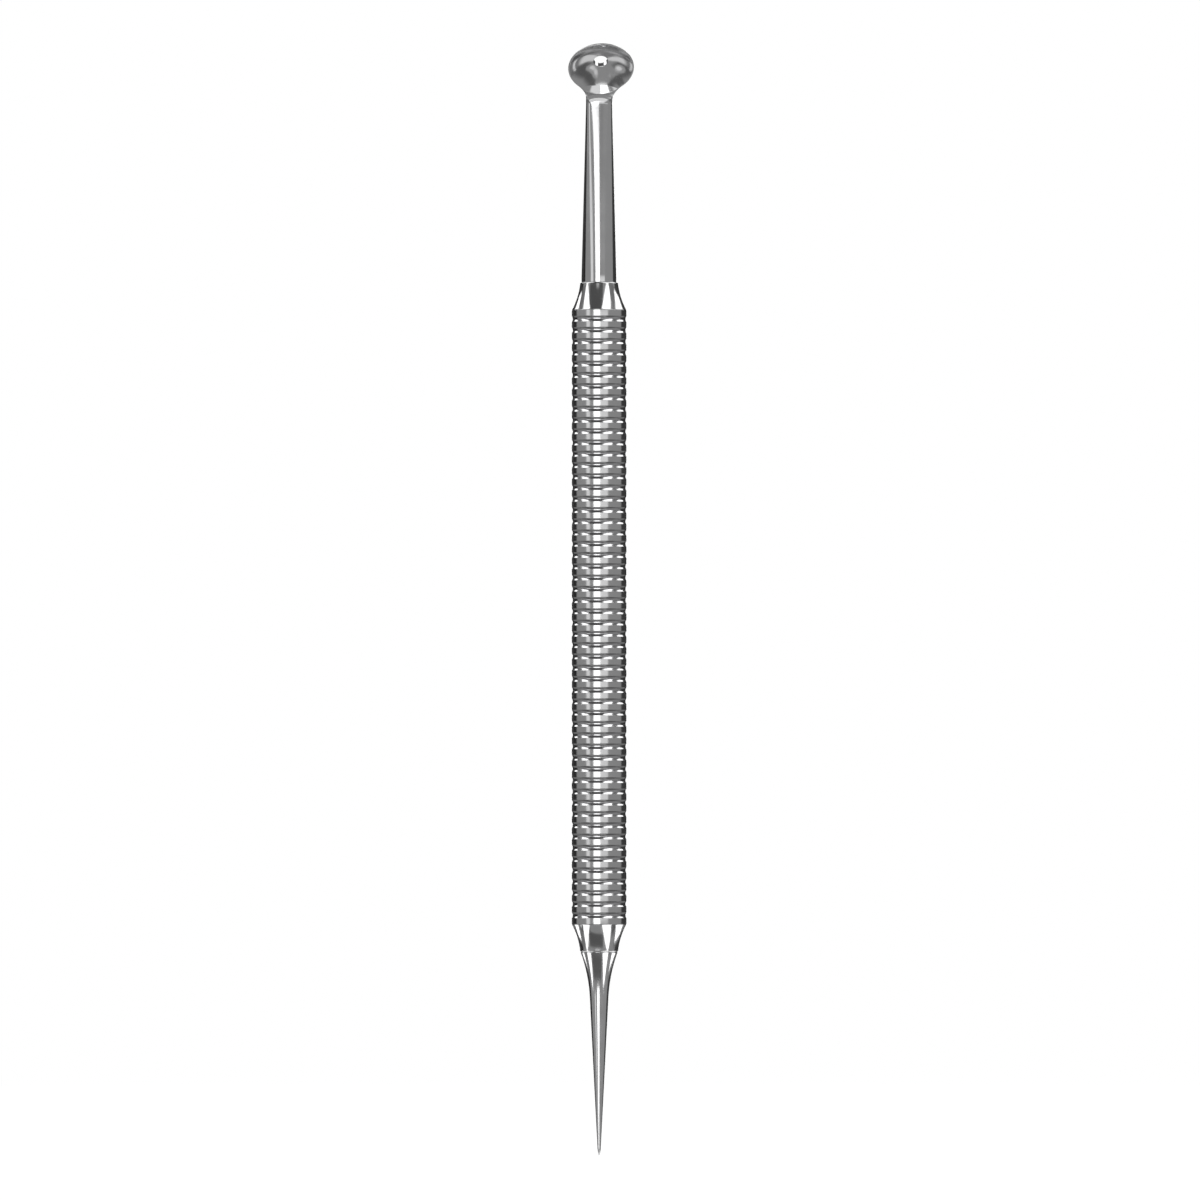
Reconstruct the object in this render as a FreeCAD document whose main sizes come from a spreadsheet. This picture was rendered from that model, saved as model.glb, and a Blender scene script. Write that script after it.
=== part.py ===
import FreeCAD, Part
import os
import re

import Sketcher

# A double-ended blackhead extractor in millimetres, standing upright.
# Z is the tool's axis with the spoon up, the bowl opens towards -Y (the front), and the origin is the middle
# of the grip.

SIZES = {
    # Grip: a ringed tube
    "grip_dia": 6.0,
    "grip_wall": 0.8,
    "end_land": 0.69,
    "ring_pitch": 1.227,
    "groove_width": 0.62,
    "groove_floor": 0.2,
    "groove_depth": 0.1,
    "groove_count": 54,
    # Ferrules: trumpet-shaped collars pressed into the tube
    "ferrule_length": 3.0,
    "mouth_dia": 4.14,
    "mouth_break": 0.06,
    "trumpet_radius": 12.9,
    "spigot_length": 5.0,
    "socket_dia": 2.4,
    "socket_depth": 6.0,
    "tang_gap": 0.2,
    "fit_gap": 0.01,
    # Needle: a flared foot, a long cone and an ogive point
    "needle_length": 22.2,
    "needle_foot_dia": 4.1,
    "needle_flare_length": 5.0,
    "needle_cone_dia": 2.04,
    "needle_neck_dia": 0.38,
    "point_length": 0.9,
    "point_radius": 2.6,
    "point_dia": 0.06,
    # Spoon shank: round at the foot, flat-fronted at the bend
    "shank_dia": 3.85,
    "foot_length": 0.55,
    "shank_length": 19.5,
    "neck_width": 2.86,
    "neck_thickness": 1.5,
    "neck_waist": 1.2,
    "neck_round": 0.25,
    "neck_crown": 0.2,
    # Bent neck and pierced bowl
    "bowl_tilt": 45.0,
    "bend_radius": 1.4,
    "neck_reach": 3.83,
    "bowl_dia": 7.16,
    "rim_land": 0.16,
    "rim_thickness": 0.17,
    "cavity_depth": 1.2,
    "bowl_wall": 0.7,
    "hole_dia": 1.53,
    "throat_start": 2.75,
    "throat_reach": 3.8,
    "cut_overrun": 2.0,
}

WORKED_OUT = {
    "grip_radius": "grip_dia / 2",
    "bore_radius": "grip_radius - grip_wall",
    "grip_length": "2 * end_land + (groove_count - 1) * ring_pitch + groove_width",
    "groove_ramp": "(groove_width - groove_floor) / 2",
    "mouth_radius": "mouth_dia / 2",
    "socket_radius": "socket_dia / 2",
    "spigot_radius": "bore_radius - fit_gap",
    "tang_radius": "socket_radius - fit_gap",
    "tang_length": "socket_depth - tang_gap",
    # The needle's foot arc runs into the long cone without a kink
    "needle_foot_radius": "needle_foot_dia / 2",
    "needle_cone_radius": "needle_cone_dia / 2",
    "needle_neck_radius": "needle_neck_dia / 2",
    "needle_neck_rise": "needle_length - point_length",
    "cone_length": "needle_neck_rise - needle_flare_length",
    "cone_slope": "atan((needle_cone_radius - needle_neck_radius) / cone_length)",
    "foot_drop": "needle_flare_length - mouth_break",
    "foot_spread": "needle_foot_radius - needle_cone_radius",
    "foot_bow": "foot_spread * cos(cone_slope) - foot_drop * sin(cone_slope)",
    "needle_flare_radius": "(foot_drop^2 + foot_spread^2) / (2 * foot_bow)",
    "shank_radius": "shank_dia / 2",
    "neck_half": "neck_width / 2",
    "neck_side": "neck_thickness - neck_crown",
    "shank_front": "neck_thickness / 2",
    # The bowl's centre on its rim plane, forward of the axis and above the seam
    "bowl_front": "shank_front + bend_radius * (1 - cos(bowl_tilt)) + neck_reach * sin(bowl_tilt)",
    "bowl_rise": "shank_length + bend_radius * sin(bowl_tilt) + neck_reach * cos(bowl_tilt)",
    "bowl_radius": "bowl_dia / 2",
    "dome_height": "cavity_depth + bowl_wall",
    "dome_centre": "(bowl_radius^2 + rim_thickness^2 - dome_height^2) / (2 * (dome_height - rim_thickness))",
    "dome_radius": "dome_centre + dome_height",
    "cavity_rim": "bowl_radius - rim_land",
    "cavity_radius": "(cavity_rim^2 + cavity_depth^2) / (2 * cavity_depth)",
    "cavity_centre": "cavity_radius - cavity_depth",
    # The neck's sides flare in one arc, tangent to the shank at the bend and to the bowl's rim at flare_top
    "flare_length": "neck_reach + bend_radius * bowl_tilt * pi / 180",
    "flare_radius": "(flare_length^2 / (bowl_radius - neck_half) - bowl_radius - neck_half) / 2",
    "flare_top": "flare_length * bowl_radius / (bowl_radius + flare_radius)",
    # The throat is a second hollow that meets the cavity in an arc at throat_start
    "throat_rise": "throat_reach - throat_start",
    "throat_rim": "(cavity_rim^2 - throat_start^2 + throat_rise^2) / (2 * throat_rise)",
    "throat_below": "throat_reach - throat_rim",
    "throat_radius": "sqrt(cavity_centre^2 + throat_rim^2)",
}

# Sections of the bend: how far round it each one lies, and what is left there of the side wall, of the extra
# thickness and of the rounded edge
BEND_SHARES = (
    ("bend_start", 0.0, 1.0, 1.0, 1.0),
    ("bend_middle", 0.5, 0.62, 0.75, 0.6),
    ("bend_end", 1.0, 0.38, 0.5, 0.2),
)
# Even steps from the end of the bend to the middle of the bowl
HEAD_STEPS = 11

doc = FreeCAD.newDocument("blackhead_extractor")
sheet = doc.addObject("Spreadsheet::Sheet", "sizes")


def fill_sheet():
    """Write the driving sizes, then the sizes worked out from them, one alias a row."""
    rows = [(name, str(size)) for name, size in SIZES.items()]
    rows += [(name, "=" + formula) for name, formula in WORKED_OUT.items()]
    for row, (name, content) in enumerate(rows, start=1):
        sheet.set(f"A{row}", name)
        sheet.set(f"B{row}", content)
        sheet.setAlias(f"B{row}", name)
    doc.recompute()


def bound(formula):
    """The formula with each size named through the sheet, ready for setExpression."""
    def through_sheet(match):
        word = match.group()
        return "sizes." + word if word in SIZES or word in WORKED_OUT else word
    return re.sub(r"[a-z_]+", through_sheet, formula)


def number(formula):
    return float(sheet.evalExpression(formula))


def bind(thing, prop, formula):
    thing.setExpression(prop, bound(formula))


def new_body(name):
    body = doc.addObject("PartDesign::Body", name)
    body.Label = name
    return body


def attach(feature, body, role, back="0", up="0", turn=None):
    """Put a feature on an origin plane of its body, moved along Y and Z and turned about X."""
    plane = next(item for item in body.Origin.OriginFeatures if item.Role == role)
    feature.AttachmentSupport = [(plane, "")]
    feature.MapMode = "FlatFace"
    if turn:
        about_x = FreeCAD.Rotation(FreeCAD.Vector(1, 0, 0), number(turn))
        feature.AttachmentOffset = FreeCAD.Placement(FreeCAD.Vector(), about_x)
        bind(feature, "AttachmentOffset.Rotation.Angle", turn)
    bind(feature, "AttachmentOffset.Base.y", back)
    bind(feature, "AttachmentOffset.Base.z", up)


def arc_edge(start, end, radius, side):
    """The shorter arc from start to end, bulging to the right of the way (side 1) or to the left (-1)."""
    way = end - start
    right = FreeCAD.Vector(way.y, -way.x, 0).normalize()
    rise = radius - (radius ** 2 - (way.Length / 2) ** 2) ** 0.5
    return Part.ArcOfCircle(start, (start + end) / 2 + right * rise * side, end)


def outline(sketch, corners):
    """Draw a closed outline. A corner is (x, y), or (x, y, radius, side) where an arc leaves it."""
    points = [FreeCAD.Vector(number(corner[0]), number(corner[1]), 0) for corner in corners]
    ends = []
    for corner, start, end in zip(corners, points, points[1:] + points[:1]):
        if len(corner) == 2:
            edge = sketch.addGeometry(Part.LineSegment(start, end))
        else:
            edge = sketch.addGeometry(arc_edge(start, end, number(corner[2]), corner[3]))
        to_first, to_last = (sketch.getPoint(edge, end_kind).distanceToPoint(start) for end_kind in (1, 2))
        ends.append((edge, 1, 2) if to_first < to_last else (edge, 2, 1))
    for (edge, _, tail), (following, head, _) in zip(ends, ends[1:] + ends[:1]):
        sketch.addConstraint(Sketcher.Constraint("Coincident", edge, tail, following, head))
    for corner, (edge, head, _) in zip(corners, ends):
        for kind, axis, formula in (("DistanceX", -2, corner[0]), ("DistanceY", -1, corner[1])):
            if formula == "0":
                sketch.addConstraint(Sketcher.Constraint("PointOnObject", edge, head, axis))
                continue
            rule = sketch.addConstraint(Sketcher.Constraint(kind, -1, 1, edge, head, number(formula)))
            bind(sketch, f"Constraints[{rule}]", formula)
        if len(corner) == 4:
            rule = sketch.addConstraint(Sketcher.Constraint("Radius", edge, number(corner[2])))
            bind(sketch, f"Constraints[{rule}]", corner[2])


def turned(body, name, corners, kind="PartDesign::Revolution"):
    """A feature turned about Z from a half outline of (radius, height) corners."""
    sketch = body.newObject("Sketcher::SketchObject", name + "_outline")
    attach(sketch, body, "XZ_Plane")
    outline(sketch, corners)
    feature = body.newObject(kind, name)
    feature.Profile = sketch
    feature.ReferenceAxis = (sketch, ["V_Axis"])
    feature.Angle = 360
    doc.recompute()
    return feature


def make_grip_tube():
    body = new_body("grip_tube")
    turned(body, "tube", [
        ("bore_radius", "-grip_length / 2"),
        ("grip_radius", "-grip_length / 2"),
        ("grip_radius", "grip_length / 2"),
        ("bore_radius", "grip_length / 2"),
    ])
    top = "grip_length / 2 - end_land"
    groove = turned(body, "groove", [
        ("grip_radius", top),
        ("grip_radius - groove_depth", top + " - groove_ramp"),
        ("grip_radius - groove_depth", top + " - groove_width + groove_ramp"),
        ("grip_radius", top + " - groove_width"),
    ], "PartDesign::Groove")
    rings = body.newObject("PartDesign::LinearPattern", "rings")
    rings.Originals = [groove]
    rings.Direction = (groove.Profile[0], ["V_Axis"])
    rings.Reversed = True
    bind(rings, "Length", "(groove_count - 1) * ring_pitch")
    bind(rings, "Occurrences", "groove_count")
    body.Tip = rings
    return body


def make_ferrule(name):
    """A collar with its shoulder at Z = 0 and its mouth up."""
    body = new_body(name)
    turned(body, "collar", [
        ("0", "-spigot_length"),
        ("spigot_radius", "-spigot_length"),
        ("spigot_radius", "0"),
        ("grip_radius", "0", "trumpet_radius", -1),
        ("mouth_radius", "ferrule_length - mouth_break"),
        ("mouth_radius - mouth_break", "ferrule_length"),
        ("socket_radius", "ferrule_length"),
        ("socket_radius", "ferrule_length - socket_depth"),
        ("0", "ferrule_length - socket_depth"),
    ])
    return body


def make_needle_tip():
    """The needle with its seam at Z = 0 and its point up."""
    body = new_body("needle_tip")
    turned(body, "needle", [
        ("0", "-tang_length"),
        ("tang_radius", "-tang_length"),
        ("tang_radius", "0"),
        ("needle_foot_radius - mouth_break", "0"),
        ("needle_foot_radius", "mouth_break", "needle_flare_radius", -1),
        ("needle_cone_radius", "needle_flare_length"),
        ("needle_neck_radius", "needle_neck_rise", "point_radius", 1),
        ("point_dia / 2", "needle_length"),
        ("0", "needle_length"),
    ])
    return body


def bulge_radius(half_chord, bulge):
    return f"(({half_chord})^2 + ({bulge})^2) / (2 * ({bulge}))"


def section(body, name, corners, back, up, turn=None):
    """A sketch across the spoon: X is sideways and Y runs from the front to the back."""
    sketch = body.newObject("Sketcher::SketchObject", name)
    attach(sketch, body, "XY_Plane", back, up, turn)
    outline(sketch, corners)
    return sketch


def round_section(body, name):
    """The round foot of the shank, split into front, sides and back."""
    half = "shank_radius * sin(45)"
    near = "shank_radius - " + half
    far = "shank_radius + " + half
    return section(body, name, [
        ("-" + half, near, "shank_radius", 1),
        (half, near, "shank_radius", 1),
        (half, far, "shank_radius", 1),
        ("-" + half, far, "shank_radius", 1),
    ], "-shank_radius", "foot_length")


def neck_section(body, name, half, side, depth, edge_round, back, up, turn=None):
    """A flat-fronted section with side walls, rounded or plain, and a crowned back."""
    flat = f"({half} - {edge_round})" if edge_round else half
    wall_arc = (bulge_radius(f"({side}) / 2", edge_round), 1) if edge_round else ()
    crown_arc = (bulge_radius(flat, f"{depth} - ({side})"), 1)
    return section(body, name, [
        (f"-{flat}", "0"),
        (flat, "0", *wall_arc),
        (flat, side, *crown_arc),
        (f"-{flat}", side, *wall_arc),
    ], back, up, turn)


def bend_sections(body):
    """Sections round the bend, from the shank's flat end to the start of the rim plane."""
    for name, along, wall_share, extra_share, round_share in BEND_SHARES:
        turn = f"{along} * bowl_tilt"
        below = f"(neck_reach + bend_radius * (1 - {along}) * bowl_tilt * pi / 180)"
        side = f"(rim_thickness + {wall_share} * (neck_side - rim_thickness))"
        depth = f"(neck_waist + {extra_share} * (neck_thickness - neck_waist))"
        back = f"-shank_front - bend_radius * (1 - cos({turn}))"
        up = f"shank_length + bend_radius * sin({turn})"
        edge_round = f"{round_share} * neck_round"
        tilt = turn if along else None
        yield neck_section(body, name, flare_half(below), side, depth, edge_round, back, up, tilt)


def head_sections(body):
    """Sections up the rim plane, where the neck flares into the bowl, ending across the bowl's middle."""
    _, _, wall_share, extra_share, _ = BEND_SHARES[-1]
    for step in range(1, HEAD_STEPS + 1):
        below = f"(neck_reach * {HEAD_STEPS - step} / {HEAD_STEPS})"
        if number(below) > number("flare_top"):
            half = flare_half(below)
            left = f"(({below} - flare_top) / (neck_reach - flare_top))^2"
            side = f"(rim_thickness + {wall_share} * {left} * (neck_side - rim_thickness))"
            depth = f"(neck_waist + {extra_share} * {left} * (neck_thickness - neck_waist))"
        else:
            half = f"sqrt(bowl_radius^2 - {below}^2)"
            side = "rim_thickness"
            middle = "(dome_height + neck_waist) / 2"
            depth = f"({middle} + (dome_height - neck_waist) / 2 * cos(180 * {below} / flare_top))"
        yield neck_section(body, f"head_{step}", half, side, depth, None, *on_rim_plane(below), "bowl_tilt")


def flare_half(below):
    return f"(neck_half + flare_radius - sqrt(flare_radius^2 - (flare_length - {below})^2))"


def on_rim_plane(below, out="0"):
    """Y and Z of a point below the bowl's centre along the rim plane and out of its open side."""
    back = f"-bowl_front + ({below}) * sin(bowl_tilt) - ({out}) * cos(bowl_tilt)"
    up = f"bowl_rise - ({below}) * cos(bowl_tilt) - ({out}) * sin(bowl_tilt)"
    return back, up


def loft(body, name, profile, sections, ruled):
    feature = body.newObject("PartDesign::AdditiveLoft", name)
    feature.Profile = profile
    feature.Sections = [(sketch, [""]) for sketch in sections]
    feature.Ruled = ruled
    doc.recompute()
    return feature


def hollow(body, name, radius, below):
    """A spherical hollow whose centre lies out of the bowl's open side."""
    ball = body.newObject("PartDesign::SubtractiveSphere", name)
    attach(ball, body, "XY_Plane", *on_rim_plane(below, "cavity_centre"))
    bind(ball, "Radius", radius)
    doc.recompute()


def make_spoon_tip():
    """The spoon with its seam at Z = 0: tang, shank, bent neck and pierced bowl."""
    body = new_body("spoon_tip")
    turned(body, "tang", [
        ("0", "-tang_length"),
        ("tang_radius", "-tang_length"),
        ("tang_radius", "0"),
        ("shank_radius", "0"),
        ("shank_radius", "foot_length"),
        ("0", "foot_length"),
    ])
    foot = round_section(body, "shank_foot")
    bend = list(bend_sections(body))
    loft(body, "shank", foot, bend[:1], ruled=True)
    loft(body, "bend", bend[0], bend[1:], ruled=False)
    loft(body, "neck", bend[-1], list(head_sections(body)), ruled=False)

    rim = section(body, "bowl_outline", [
        ("0", "0"),
        ("bowl_radius", "0"),
        ("bowl_radius", "rim_thickness", "dome_radius", 1),
        ("0", "dome_height"),
    ], *on_rim_plane("0"), "bowl_tilt")
    bowl = body.newObject("PartDesign::Revolution", "bowl")
    bowl.Profile = rim
    bowl.ReferenceAxis = (rim, ["V_Axis"])
    bowl.Angle = 180
    bowl.Reversed = True
    doc.recompute()

    hollow(body, "cavity", "cavity_radius", "0")
    hollow(body, "throat", "throat_radius", "throat_below")
    hole = body.newObject("PartDesign::SubtractiveCylinder", "extraction_hole")
    attach(hole, body, "XY_Plane", *on_rim_plane("0", "cut_overrun"), "bowl_tilt - 90")
    bind(hole, "Radius", "hole_dia / 2")
    bind(hole, "Height", "dome_height + 2 * cut_overrun")
    doc.recompute()
    return body


def stand(body, rise, needle_end=False):
    """Move a piece to its place on the axis, upside down at the needle end."""
    if needle_end:
        body.Placement = FreeCAD.Placement(FreeCAD.Vector(), FreeCAD.Rotation(FreeCAD.Vector(1, 0, 0), 180))
    bind(body, "Placement.Base.z", f"-({rise})" if needle_end else rise)


def check(bodies):
    for item in doc.Objects:
        if "Invalid" in item.State or "Error" in item.State:
            raise RuntimeError(f"{item.Label} failed: {item.State}")
    for body in bodies:
        if body.Shape.isNull() or not body.Shape.isValid() or len(body.Shape.Solids) != 1:
            raise RuntimeError(f"{body.Label} is not one valid solid")


fill_sheet()
grip_tube = make_grip_tube()
spoon_ferrule = make_ferrule("spoon_ferrule")
needle_ferrule = make_ferrule("needle_ferrule")
spoon_tip = make_spoon_tip()
needle_tip = make_needle_tip()
stand(spoon_ferrule, "grip_length / 2")
stand(needle_ferrule, "grip_length / 2", needle_end=True)
stand(spoon_tip, "grip_length / 2 + ferrule_length")
stand(needle_tip, "grip_length / 2 + ferrule_length", needle_end=True)
doc.recompute()

pieces = [grip_tube, spoon_ferrule, needle_ferrule, spoon_tip, needle_tip]
check(pieces)
os.makedirs("parts", exist_ok=True)
for piece in pieces:
    piece.Shape.exportStep(f"parts/{piece.Label}.step")
    print(piece.Label, round(piece.Shape.Volume, 3), piece.Shape.BoundBox)
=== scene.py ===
import math

import bmesh
import bpy
from bpy.props import FloatProperty, FloatVectorProperty, IntProperty, PointerProperty
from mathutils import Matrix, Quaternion, Vector


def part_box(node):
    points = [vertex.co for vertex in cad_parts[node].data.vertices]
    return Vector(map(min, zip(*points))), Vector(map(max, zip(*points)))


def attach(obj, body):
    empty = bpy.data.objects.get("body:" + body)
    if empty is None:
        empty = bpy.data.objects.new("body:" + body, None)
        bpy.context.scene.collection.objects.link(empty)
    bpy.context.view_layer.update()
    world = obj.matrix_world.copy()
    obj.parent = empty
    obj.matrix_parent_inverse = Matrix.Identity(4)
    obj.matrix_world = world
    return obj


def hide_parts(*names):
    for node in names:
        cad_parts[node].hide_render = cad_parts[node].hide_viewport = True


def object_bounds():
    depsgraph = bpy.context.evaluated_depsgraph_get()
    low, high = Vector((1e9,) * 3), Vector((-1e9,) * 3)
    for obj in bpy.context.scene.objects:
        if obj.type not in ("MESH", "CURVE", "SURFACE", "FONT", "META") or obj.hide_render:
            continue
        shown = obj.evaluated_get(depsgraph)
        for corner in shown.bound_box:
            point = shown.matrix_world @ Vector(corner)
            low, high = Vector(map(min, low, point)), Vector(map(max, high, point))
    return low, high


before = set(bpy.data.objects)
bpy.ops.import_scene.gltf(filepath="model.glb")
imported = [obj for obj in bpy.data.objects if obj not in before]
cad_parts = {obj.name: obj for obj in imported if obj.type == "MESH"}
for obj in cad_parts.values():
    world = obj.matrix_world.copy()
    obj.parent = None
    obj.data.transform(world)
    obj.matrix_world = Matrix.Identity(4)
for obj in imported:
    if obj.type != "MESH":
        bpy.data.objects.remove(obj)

bl_info = {
    "name": "Blackhead Extractor",
    "version": (1, 0, 0),
    "blender": (4, 5, 0),
    "location": "View3D > Sidebar > Extractor",
    "description": "Dresses a double-ended blackhead extractor in polished steel on a white stage",
    "category": "Object",
}

CAD_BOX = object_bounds()
MM = 0.001
BODY = "root"

GRIP_LOW, GRIP_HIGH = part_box("grip_tube")
SPOON_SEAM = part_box("spoon_ferrule")[1].z
NEEDLE_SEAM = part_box("needle_ferrule")[0].z
NEEDLE_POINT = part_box("needle_tip")[0].z


def length(name, description, millimetres):
    return FloatProperty(name=name, description=description, default=millimetres * MM, unit="LENGTH",
                         precision=6, min=0.0)


def angle(name, description, degrees):
    return FloatProperty(name=name, description=description, default=math.radians(degrees), subtype="ANGLE")


def count(name, description, number):
    return IntProperty(name=name, description=description, default=number, min=1)


def share(name, description, default):
    return FloatProperty(name=name, description=description, default=default, subtype="FACTOR",
                         min=0.0, max=1.0)


def colour(name, description, default):
    return FloatVectorProperty(name=name, description=description, default=default, subtype="COLOR",
                               size=len(default), min=0.0, max=1.0)


class GripSizes(bpy.types.PropertyGroup):
    """The ringed tube that the fingers hold."""
    radius: length("Radius", "Radius over the rings", GRIP_HIGH.x / MM)
    bore_radius: length("Bore radius", "Radius of the hollow inside", 2.2)
    half_length: length("Half length", "From the middle of the tube to its end", GRIP_HIGH.z / MM)
    ring_pitch: length("Ring pitch", "From one groove to the next", 1.227)
    groove_count: count("Grooves", "Grooves turned into the tube", 54)
    groove_width: length("Groove width", "Width of a groove at the surface", 0.62)
    groove_floor: length("Groove floor", "Width of a groove at its floor", 0.2)
    groove_depth: length("Groove depth", "Depth of a groove", 0.1)
    edge_round: length("Edge round", "Radius on the edges of the rings", 0.05)
    floor_round: length("Floor round", "Radius in the corners of a groove's floor", 0.35)
    segments: count("Segments", "Faces round the tube", 96)


class FerruleSizes(bpy.types.PropertyGroup):
    """The trumpet-shaped collars at the ends of the grip."""
    length: length("Length", "From the tube's end to the mouth", (SPOON_SEAM - GRIP_HIGH.z) / MM)
    mouth_radius: length("Mouth radius", "Outer radius at the mouth", 2.07)
    mouth_round: length("Mouth round", "Radius on the mouth's edge", 0.13)
    shoulder_round: length("Shoulder round", "Radius on the edge beside the tube", 0.03)
    trumpet_radius: length("Trumpet radius", "Radius of the hollow flank", 8.0)
    spigot_radius: length("Spigot radius", "Radius of the plug inside the tube", 2.19)
    spigot_length: length("Spigot length", "Length of the plug inside the tube", 5.0)
    socket_radius: length("Socket radius", "Radius of the hole for the tang", 1.2)
    socket_depth: length("Socket depth", "Depth of the hole for the tang", 6.0)
    segments: count("Segments", "Faces round a collar", 128)


class NeedleSizes(bpy.types.PropertyGroup):
    """The needle: a flared foot, a long cone and a short ogive point."""
    foot_radius: length("Foot radius", "Radius at the seam", 2.05)
    foot_round: length("Foot round", "Radius on the foot's edge", 0.07)
    flare_length: length("Flare length", "From the seam to the start of the cone", 5.0)
    cone_radius: length("Cone radius", "Radius at the start of the cone", 1.02)
    neck_radius: length("Neck radius", "Radius where the point starts", 0.19)
    point_length: length("Point length", "Length of the ogive point", 0.9)
    point_bow: length("Point radius", "Radius of the ogive's flank", 2.6)
    point_radius: length("Tip radius", "Radius of the rounded tip", 0.03)
    tang_radius: length("Tang radius", "Radius of the pin in the collar", 1.19)
    tang_length: length("Tang length", "Length of the pin in the collar", 5.8)
    segments: count("Segments", "Faces round the needle", 112)


class SpoonSizes(bpy.types.PropertyGroup):
    """The spoon: a tapering shank, a bent neck and a pierced bowl."""
    shank_radius: length("Shank radius", "Radius at the foot", 1.925)
    foot_length: length("Foot length", "Straight stretch above the seam", 0.55)
    foot_round: length("Foot round", "Radius on the foot's edge", 0.05)
    shank_length: length("Shank length", "From the seam to the bend", 19.5)
    shank_bow: share("Shank bow", "How far the shank's front and back bow out on their way to the foot", 0.2)
    neck_width: length("Neck width", "Width at the bend", 2.86)
    neck_thickness: length("Neck thickness", "Thickness at the bend", 1.5)
    neck_waist: length("Neck waist", "Thickness behind the throat", 1.2)
    neck_round: length("Neck round", "Swell of the side walls at the bend", 0.25)
    neck_crown: length("Neck crown", "Swell of the back at the bend", 0.2)
    face_crown: length("Face crown", "Swell of the front at the bend", 0.22)
    edge_round: length("Edge round", "Reach of the rounding on the neck's edges", 0.22)
    bowl_tilt: angle("Bowl tilt", "How far the rim leans forward", 45.0)
    bend_radius: length("Bend radius", "Radius of the bend along the front", 1.4)
    neck_reach: length("Neck reach", "From the bend to the middle of the bowl", 3.83)
    bowl_radius: length("Bowl radius", "Outer radius of the rim", 3.58)
    rim_land: length("Rim land", "Width of the flat rim", 0.16)
    rim_thickness: length("Rim thickness", "Thickness of the rim", 0.17)
    rim_round: length("Rim round", "Swell of the rim's edge", 0.05)
    cavity_depth: length("Cavity depth", "Depth of the bowl below its rim", 1.2)
    bowl_wall: length("Bowl wall", "Thickness of the bowl's floor", 0.7)
    hole_radius: length("Hole radius", "Radius of the extraction hole", 0.765)
    hole_round: length("Hole round", "Radius on the edges of the hole", 0.06)
    throat_stretch: share("Throat stretch", "How much further the hollow runs towards the neck", 0.3)
    throat_spread: angle("Throat spread", "How far to each side the throat reaches", 43.0)
    throat_reach: length("Throat reach", "From the bowl's middle to the throat's end", 3.75)
    throat_round: length("Throat round", "Radius of the throat's end", 2.8)
    throat_slope: angle("Throat slope", "Slope of the throat's wall", 44.0)
    tang_radius: length("Tang radius", "Radius of the pin in the collar", 1.19)
    tang_length: length("Tang length", "Length of the pin in the collar", 5.8)


class SteelFinish(bpy.types.PropertyGroup):
    """Colours and polish of the steel."""
    grip_colour: colour("Grip", "Steel of the rings", (0.66, 0.66, 0.665, 1.0))
    # The groove colour is painted shade: darker steel that stands in for the shade down in the grooves.
    groove_shade_colour: colour("Grooves", "Steel down in the grooves", (0.56, 0.56, 0.57, 1.0))
    ferrule_colour: colour("Collars", "Steel of the collars", (0.66, 0.66, 0.665, 1.0))
    tip_colour: colour("Tips", "Steel of the needle and the spoon", (0.68, 0.68, 0.685, 1.0))
    grip_roughness: share("Grip roughness", "Roughness of the rings", 0.16)
    tip_roughness: share("Tip roughness", "Roughness of the tips and collars", 0.13)


class StageSettings(bpy.types.PropertyGroup):
    """Floor, cards, lamps and camera."""
    floor_colour: colour("Floor", "Colour of the floor", (0.9, 0.9, 0.9, 1.0))
    ambient: share("Ambient", "Light from the surroundings", 0.85)
    card_radius: length("Card distance", "From the tool to the cards", 1200.0)
    lamp_distance: length("Lamp distance", "From the tool to the lamps", 1000.0)
    camera_azimuth: angle("Camera azimuth", "Round the tool from the front", -3.2)
    camera_elevation: angle("Camera elevation", "Above the horizon", -0.9)
    camera_lens: FloatProperty(name="Lens", description="Focal length", default=500.0, unit="CAMERA")
    frame_margin: share("Margin", "Free edge above and below the tool", 0.04)


class ExtractorSettings(bpy.types.PropertyGroup):
    """Everything that a user would change."""
    grip: PointerProperty(type=GripSizes)
    ferrule: PointerProperty(type=FerruleSizes)
    needle: PointerProperty(type=NeedleSizes)
    spoon: PointerProperty(type=SpoonSizes)
    steel: PointerProperty(type=SteelFinish)
    stage: PointerProperty(type=StageSettings)


def settings():
    return bpy.context.scene.extractor


# Nodes

NODE_STEP = 180


def fill(tree, node, inputs):
    """Give each input a value, or a link from a socket or from a node's first output."""
    for key, value in inputs.items():
        if isinstance(value, bpy.types.Node):
            value = value.outputs[0]
        if isinstance(value, bpy.types.NodeSocket):
            tree.links.new(value, node.inputs[key])
        else:
            node.inputs[key].default_value = value


def add_node(tree, kind, inputs=None, **traits):
    """Add a node, set its traits and fill its inputs."""
    node = tree.nodes.new(kind)
    node.location = (NODE_STEP * len(tree.nodes), 0)
    for trait, value in traits.items():
        setattr(node, trait, value)
    fill(tree, node, inputs or {})
    return node


def calculate(tree, operation, first, second=0.0):
    return add_node(tree, "ShaderNodeMath", {0: first, 1: second}, operation=operation)


def negative(tree, value):
    return calculate(tree, "MULTIPLY", value, -1.0)


def halved(tree, value):
    return calculate(tree, "MULTIPLY", value, 0.5)


def combine(tree, x, y):
    return add_node(tree, "ShaderNodeCombineXYZ", {"X": x, "Y": y})


# Objects and meshes

def add_object(name, data):
    made = bpy.data.objects.new(name, data)
    bpy.context.scene.collection.objects.link(made)
    return made


def hide_from(thing, *rays):
    for ray in rays:
        setattr(thing, "visible_" + ray, False)


def add_piece(name, mesh, node, material):
    """Show a finished mesh in place of a CAD node."""
    piece = add_object(name, mesh)
    mesh.materials.clear()
    mesh.materials.append(material)
    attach(piece, BODY)
    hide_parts(node)
    return piece


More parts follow.
